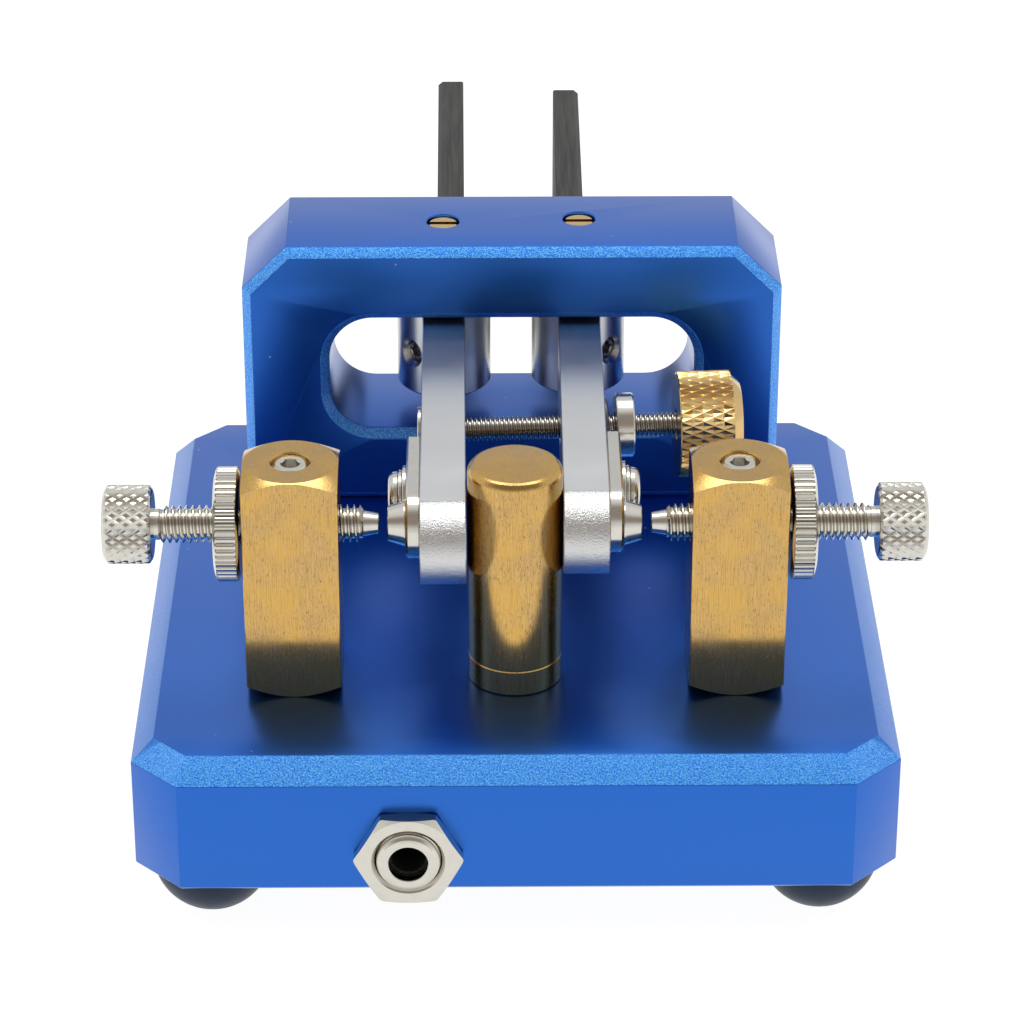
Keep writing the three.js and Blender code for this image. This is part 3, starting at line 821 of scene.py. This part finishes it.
class Lever:
    """Where one lever lies. Its y is measured from the pivot."""

    def __init__(self, name, s):
        self.name, self.s = name, s
        point = joint_point(f"{name}_lever_pivot")
        self.pivot = Vector((point.x, point.y, 0))
        self.axes = Matrix.Translation(self.pivot) @ Matrix.Rotation(-s * LEVER_TILT, 4, "Z")
        self.radial = Vector((s, -1, 0)).normalized()

    def sideways(self, at_y, at_z, start=0.0, toward=1):
        """Axes across the bar; z runs outward from its middle."""
        return self.axes @ axes((self.s * start, at_y, at_z), Vector((self.s * toward, 0, 0)))

    def flank(self, outward):
        """Axes for a side outline that is pushed outward from this distance."""
        return self.axes @ Matrix.Scale(self.s, 4, RIGHT) @ axes((outward, 0, 0), RIGHT)

    def beside(self, node):
        """Axes across the bar at a part of the contact strip."""
        return self.sideways(middle(f"{self.name}_{node}").y - self.pivot.y, STRIP["height"])

    def rod_line(self):
        rod = joint_point("tension_screw_turn")
        return self.sideways(rod.y + self.s * ROD_OFFSET - self.pivot.y, rod.z)

    def hub_line(self):
        return self.axes @ axes((0, 0, HUB["screw"]), self.radial)

    def blade_screw(self, label, start=0.0, toward=1):
        """Axes on the line of a screw that holds the blade."""
        return self.sideways(BLADE_SCREWS[label] - self.pivot.y, BLADE_SCREW_HEIGHT, start, toward)

    def blade_holes(self):
        lines = [self.blade_screw(label) for label in BLADE_SCREWS]
        return [drilled(line, BLADE_SCREW_HOLE, -4, 4, 24) for line in lines]


def bar_outline(nose, end, bottom, top):
    """A bar seen from the side, whose front end is most of a half ellipse."""
    radius = (top - bottom) / 2
    wide, tall, start = NOSE["long"] * radius, NOSE["tall"] * radius, NOSE["start"]
    turns = [start + (math.pi - 2 * start) * i / 48 for i in range(49)]
    side = [Vector((nose + wide * (1 - math.sin(a)), bottom + radius + tall * math.cos(a))) for a in turns]
    return side + outline((end, bottom), (end, top))


def make_bar(lever):
    low, high = span(f"{lever.name}_lever")
    bottom, top, half = BAR["bottom"], high.z, BAR["half"]
    nose, end, lap = low.y - lever.pivot.y, high.y - lever.pivot.y, BAR["lap"] - lever.pivot.y
    edge = 0.1
    bar = prism([bar_outline(nose, end, bottom, top)], (edge, -half), (0, -half + edge), (0, half - edge),
                (edge, half))
    radius, under = HUB["radius"], HUB["low"]
    hub = turned((0, under), (radius - 0.3, under), (radius, under + 0.3), (radius, top - 0.3),
                 (radius - 0.3, top), (0, top), segments=96)
    lower_seat = turned((0, under - 0.1), (1.6, under - 0.1), (0.5, under + 1.6), (0, under + 1.6),
                        segments=32)
    upper_seat = turned((0, top - 1.7), (0.5, top - 1.7), (1.75, top + 0.1), (0, top + 0.1), segments=32)
    screw_mouth = turned((0, 4.5), (1.2, 4.5), (2.1, 5.8), (0, 5.8), segments=32)
    across = (-4, BAR["tongue"]) if lever.s > 0 else (-BAR["tongue"], 4)
    steps = [
        (JOIN, hub.moved(lever.axes)),
        (CUT, block(across, (lap, end + 1), (20, 40)).moved(lever.axes)),
        (CUT, lower_seat.moved(lever.axes)),
        (CUT, upper_seat.moved(lever.axes)),
        drilled(lever.beside("strip_screw"), 1.55, -0.8, 4, 32),
        drilled(lever.hub_line(), 1.3, 1.6, 8, 32),
        (CUT, screw_mouth.moved(lever.hub_line())),
    ]
    for hole, start, sides in ROD_HOLES[lever.name]:
        steps.append(drilled(lever.rod_line(), hole, start, 4, sides))
    steps += lever.blade_holes()
    finish = silver_anodised(f"silver_{lever.name}_lever", nose + (top - bottom) / 2)
    bar = bar.moved(lever.axes @ axes((0, 0, 0), RIGHT))
    piece(f"{lever.name}_lever", carve(bar, *steps), finish, lever.axes)


def make_blade(lever):
    low, high = span(f"{lever.name}_finger_blade")
    thick, start, end = BLADE["thick"], BLADE["from"] - lever.pivot.y, high.y - lever.pivot.y
    loop = rounded_rect(start, end, low.z, high.z, BLADE["corners"])
    blade = prism([loop], (0.15, 0), (0, 0.15), (0, thick - 0.5), (0.08, thick - 0.42), (0.42, thick - 0.08),
                  (0.5, thick)).moved(lever.flank(-BAR["half"]))
    piece(f"{lever.name}_finger_blade", carve(blade, *lever.blade_holes()), BLADE_BLACK, lever.axes)
    for label in BLADE_SCREWS:
        place = lever.blade_screw(label, -BAR["half"], -1)
        piece(f"{lever.name}_blade_screw_{label}", moved_mesh(button_screw(), place), STEEL, place)


def make_hub_screw(lever):
    place = lever.hub_line() @ Matrix.Translation((0, 0, 4.6))
    screw = set_screw(2.7, 1.24, 0.5, 1.3, 1.2)
    piece(f"{lever.name}_hub_screw", moved_mesh(screw, place), STEEL, place)


def make_contact_strip(lever):
    low, high = span(f"{lever.name}_contact_strip")
    r, height, thick = (high.z - low.z) / 2, STRIP["height"], STRIP["thick"]
    inside = BAR["half"] + STRIP["gap"]
    loop = rounded_rect(low.y - lever.pivot.y, high.y - lever.pivot.y, height - r, height + r,
                        (r, 0.2, 0.2, r), 24)
    strip = prism([loop], (0.12, 0), (0, 0.12), (0, thick - 0.2), (0.2, thick))
    place = lever.beside("strip_screw")
    bore = drilled(place, 1.55, inside - 1, inside + thick + 1, 32)
    piece(f"{lever.name}_contact_strip", carve(strip.moved(lever.flank(inside)), bore), NICKEL, place)


def make_contact_button(lever):
    start = ON_STRIP
    button = turned((0, start), (2.3, start), (2.38, start + 0.06), (2.39, start + 0.18), (1.86, 5.71),
                    (1.78, 5.79), (0, 5.79), segments=72)
    place = lever.beside("contact_button")
    piece(f"{lever.name}_contact_button", button.moved(place), NICKEL, place)


def make_strip_washer(lever):
    place, w = lever.beside("strip_screw"), ON_STRIP
    washer = turned((1.55, w), (3.1, w), (3.2, w + 0.06), (3.2, w + 0.36), (3.1, w + 0.42), (1.55, w + 0.42),
                    segments=72, closed=True)
    lock = turned((1.5, w + 0.45), (2.64, w + 0.45), (2.74, w + 0.53), (2.74, w + 0.77), (2.64, w + 0.85),
                  (1.5, w + 0.85), segments=72, closed=True)
    piece(f"{lever.name}_strip_washer", moved_mesh(carve(washer, (JOIN, lock)), place), NICKEL, place)


def make_strip_screw(lever):
    place, w = lever.beside("strip_screw"), ON_STRIP
    turns = [math.radians(9 * k) for k in range(11)]
    dome = [(1.7 + 0.85 * math.cos(a), w + 1.2 + 0.75 * math.sin(a)) for a in turns]
    screw = turned((0, -0.6), (1.2, -0.6), thread(-0.55, w + 0.2, 1.45, 0.5), (1.4, w + 0.88),
                   (2.45, w + 0.88), (2.55, w + 0.96), *dome, (0, w + 1.95), segments=72)
    long, narrow, deep = (-1.5, 1.5), (-0.26, 0.26), (w + 1.1, w + 3)
    cross = [(CUT, block(long, narrow, deep)), (CUT, block(narrow, long, deep))]
    piece(f"{lever.name}_strip_screw", moved_mesh(carve(screw, *cross), place), NICKEL, place)


def make_rod_nut(lever):
    half, place = BAR["half"], lever.rod_line()
    nut = turned((1.66, -1.1), (2.28, -1.1), (2.28, half + 0.02), (2.5, half + 0.02), (2.6, half + 0.1),
                 (2.6, half + 0.37), (2.5, half + 0.45), (1.8, half + 0.45), (1.66, half + 0.31),
                 segments=56, closed=True)
    piece(f"{lever.name}_rod_nut", nut.moved(place), NICKEL, place)


def button_screw():
    """Button-head screw; z = 0 under the head, which points up."""
    dome = [(2.2 * math.cos(a), 0.25 + 0.9 * math.sin(a)) for a in (math.radians(9 * k) for k in range(8))]
    body = turned((0, -4.6), (0.9, -4.6), thread(-4.5, -0.3, 1.18, 0.45, 28), (1.1, 0.02), (2.1, 0.02),
                  (2.2, 0.1), *dome, (0, 1.17), segments=56)
    return carve(body, (CUT, hex_socket(1.5, 0.3, 2)))


def make_lever(lever):
    make_bar(lever)
    make_blade(lever)
    make_hub_screw(lever)
    make_contact_strip(lever)
    make_contact_button(lever)
    make_strip_washer(lever)
    make_strip_screw(lever)
    if lever.name == "left":
        make_rod_nut(lever)


# ---- tension rod ----
# Distances run along the rod from its joint, with the knob at the far end.
ROD = {"radius": 1.33, "start": -10.3, "end": 23.8, "hole": 1.39}
DISC = {"low": 11.15, "high": 13.2, "radius": 3.6}
KNOB = {"low": 17.95, "high": 24.9, "radius": 5.8}
COIL = {"floor": 7.92, "reach": 2.73, "wire": 0.34, "radius": 3.05, "turns": 4}
# Turns of the coil, and the share of its climb made by then. The end turns climb a little less.
COIL_CLIMB = ((0, 0), (1, 0.24), (3, 0.76), (4, 1))


def make_rod(place):
    radius, start, end = ROD["radius"], ROD["start"], ROD["end"]
    rod = turned((0, start), (1.15, start), thread(start + 0.1, end - 0.1, radius, 0.5, 40), (1.15, end),
                 (0, end), segments=40)
    piece("tension_rod", rod.moved(place), STEEL, place)


def make_disc(place):
    low, high, r, hole = DISC["low"], DISC["high"], DISC["radius"], ROD["hole"]
    disc = turned((hole, low + 0.2), (hole + 0.2, low), (r - 0.25, low), (r - 0.08, low + 0.06),
                  (r, low + 0.22), (r, high - 0.22), (r - 0.08, high - 0.06), (r - 0.25, high),
                  (hole + 0.2, high), (hole, high - 0.2), segments=96, closed=True)
    piece("tension_disc", disc.moved(place), NICKEL, place)


def make_knob(place):
    low, high, r, hole, bottom = KNOB["low"], KNOB["high"], KNOB["radius"], ROD["hole"], ROD["end"] + 0.1
    knurl = diamond_knurl(low + 0.16, high - 1.05, r, 0.26, 38, 2.47, 0.1)
    knob = turned((0, bottom), (hole, bottom), (hole, low + 0.3), (hole + 0.3, low), (r - 0.3, low),
                  (r - 0.24, low + 0.03), (r - 0.12, low + 0.14), knurl, (r - 0.3, high - 1.0),
                  (r - 1.14, high - 0.1), (r - 1.28, high), (0, high), segments=96)
    piece("tension_knob", knob.moved(place), BRASS, place)


def climb(turn):
    for (t0, s0), (t1, s1) in zip(COIL_CLIMB, COIL_CLIMB[1:]):
        if turn <= t1:
            return s0 + (s1 - s0) * (turn - t0) / (t1 - t0)
    return 1


def make_spring(place):
    wire, floor, per_turn, around = COIL["wire"], COIL["floor"], 40, 14
    spring = Solid()
    rings = []
    for i in range(COIL["turns"] * per_turn + 1):
        turn = i / per_turn
        out = Vector((math.cos(2 * math.pi * turn), math.sin(2 * math.pi * turn), 0))
        centre = out * COIL["radius"] + UP * (floor + wire + (COIL["reach"] - 2 * wire) * climb(turn))
        turns = [2 * math.pi * k / around for k in range(around)]
        rings.append(spring.ring([centre + wire * (out * math.cos(b) + UP * math.sin(b)) for b in turns]))
    for a, b in zip(rings, rings[1:]):
        spring.join(a, b)
    for ring in (rings[0], rings[-1]):
        centre = sum((spring.points[i] for i in ring), Vector()) / around
        spring.join(spring.ring([centre]), ring)
    soft = piece("return_spring", spring.moved(place), SPRING, place)
    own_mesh(soft)


def make_tension():
    direction = Vector(JOINTS["tension_screw_turn"]["axis"]).normalized()
    place = axes(joint_point("tension_screw_turn"), direction)
    make_rod(place)
    make_disc(place)
    make_knob(place)
    make_spring(place)


# ---- jack ----
def make_jack():
    low, high = span("jack_bush")
    x, z = (low.x + high.x) / 2, (low.z + high.z) / 2
    out, wall, r, bore = -low.y, high.y, (high.x - low.x) / 2, 2.05
    place = axes((x, 0, z), FRONT)
    bush = turned((bore, -wall), (r, -wall), thread(-wall + 0.1, out - 0.75, r, 0.5, 72),
                  (r - 0.1, out - 0.7), (r - 0.1, out - 0.5), (r - 0.2, out - 0.28), (r - 0.5, out - 0.08),
                  (r - 0.75, out), (bore + 0.06, out), (bore, out - 0.06), segments=96, closed=True)
    piece("jack_bush", bush.moved(place), NICKEL, place)
    low, high = span("jack_nut")
    thick, flats = -low.y, high.z - low.z
    nut = prism([eased(hexagon(flats), 0.3)], (0, 0.02), (0, thick))
    rim, reach, drop = flats / 2 - 0.05, flats / 2 + 1.15, 0.55
    cone = turned((0, 0.02), (rim, 0.02), (reach, 0.02 + drop), (reach, thick - drop), (rim, thick),
                  (0, thick), segments=96)
    hole = turned((0, -1), (r + 0.08, -1), (r + 0.08, thick - 0.35), (r + 0.45, thick + 0.02),
                  (0, thick + 0.02), segments=72)
    mesh = carve(nut, (COMMON, cone), (CUT, hole))
    piece("jack_nut", moved_mesh(bevelled(mesh, 0.06, 1, 25), place), NICKEL, place)

    low, high = span("jack_housing")
    case = block((low.x, high.x), (low.y, high.y), (low.z, high.z), 0.6)
    inner = 1.78
    sleeve = turned((inner, -wall - 1), (2.03, -wall - 1), (2.03, out - 1.3), (1.9, out - 1.2),
                    (inner, out - 1.4), segments=64, closed=True).moved(place)
    sleeve_bore = plug(inner, -14, 1, 64).moved(place)
    mesh = carve(case, (JOIN, sleeve), (CUT, sleeve_bore),
                 (CUT, block((x - 1.3, x + 1.3), (6, 14), (z + 1, z + 3.6))))
    piece("jack_housing", mesh, BLACK)


# ---- what stays as CAD made it ----
def finish_carried_nodes():
    for node, obj in frame["nodes"].items():
        if obj.hide_render:
            continue
        obj.data.materials.clear()
        obj.data.materials.append(CARRIED[SLOT_OF[node]])


# ---- surroundings ----
def area_light(name, place, target, size, power):
    light = bpy.data.lights.new(name, "AREA")
    light.shape = "RECTANGLE"
    light.size, light.size_y = size
    light.energy = power
    obj = bpy.data.objects.new(name, light)
    obj.location = place
    obj.rotation_euler = (Vector(target) - Vector(place)).to_track_quat("-Z", "Y").to_euler()
    bpy.context.scene.collection.objects.link(obj)


def make_floor():
    bpy.ops.mesh.primitive_plane_add(size=6)
    floor = bpy.context.active_object
    floor.name = "floor"
    paint = Finish("floor_paint", Roughness=0.9)
    paint.set("Base Color", (0.12, 0.12, 0.12))
    paint.set("Emission Color", (1, 1, 1))
    paint.set("Emission Strength", 0.96)
    floor.data.materials.append(paint.material)


ROOM = {"pale": (0.88, 0.89, 0.90, 1), "behind": (0.74, 0.75, 0.77, 1), "dark": (0.36, 0.31, 0.28, 1)}


def make_world():
    """A pale room, dimmer behind the key and darker above the horizon on the side its jack faces."""
    world = bpy.data.worlds.new("studio")
    bpy.context.scene.world = world
    world.use_nodes = True
    tree = world.node_tree

    def step(socket, low, high):
        node = tree.nodes.new("ShaderNodeMapRange")
        node.interpolation_type = "SMOOTHSTEP"
        tree.links.new(socket, node.inputs["Value"])
        node.inputs["From Min"].default_value, node.inputs["From Max"].default_value = low, high
        return node.outputs["Result"]

    direction = tree.nodes.new("ShaderNodeSeparateXYZ")
    tree.links.new(tree.nodes.new("ShaderNodeTexCoord").outputs["Generated"], direction.inputs[0])
    dark = tree.nodes.new("ShaderNodeMath")
    dark.operation = "MULTIPLY"
    tree.links.new(step(direction.outputs["Y"], -0.1, -0.5), dark.inputs[0])
    tree.links.new(step(direction.outputs["Z"], 0.1, 0.5), dark.inputs[1])
    behind = step(direction.outputs["Y"], 0.4, 0.8)
    colour = ROOM["pale"]
    for share, other in ((behind, ROOM["behind"]), (dark.outputs[0], ROOM["dark"])):
        shade = tree.nodes.new("ShaderNodeMix")
        shade.data_type = "RGBA"
        tree.links.new(share, shade.inputs[0])
        if isinstance(colour, tuple):
            shade.inputs[6].default_value = colour
        else:
            tree.links.new(colour, shade.inputs[6])
        shade.inputs[7].default_value = other
        colour = shade.outputs[2]
    background = tree.nodes["Background"]
    tree.links.new(colour, background.inputs["Color"])
    background.inputs["Strength"].default_value = 1.0


def make_surroundings():
    make_floor()
    make_world()
    area_light("overhead", (0, 0.28, 0.95), (0, 0.28, 0), (0.78, 0.44), 4.1)


# The photo's camera: lens and sensor in mm, place in design mm, angles in degrees.
CAMERA = {"lens": 137.31, "sensor": 36, "place": (-3.24, -340.19, 226.70), "down": 28.165, "turn": -0.466}


def make_camera():
    data = bpy.data.cameras.new("camera")
    data.sensor_width = CAMERA["sensor"]
    data.lens = CAMERA["lens"]
    data.clip_start, data.clip_end = 0.01, 20
    camera = bpy.data.objects.new("camera", data)
    camera.location = ORIGIN + Vector(CAMERA["place"]) * MM
    camera.rotation_euler = (math.radians(90 - CAMERA["down"]), 0, math.radians(CAMERA["turn"]))
    bpy.context.scene.collection.objects.link(camera)
    bpy.context.scene.camera = camera
    bpy.context.scene.view_settings.view_transform = "Standard"


make_camera()
make_base()
make_bridge()
make_feet()
make_pivot_screws()
make_contact_posts()
make_centre_post()
for side_name, side_sign in SIDES:
    make_contact_screw(side_name, side_sign)
    make_lock_nut(side_name, side_sign)
for side_name, side_sign in SIDES:
    make_lever(Lever(side_name, side_sign))
make_tension()
make_jack()
finish_carried_nodes()
make_surroundings()
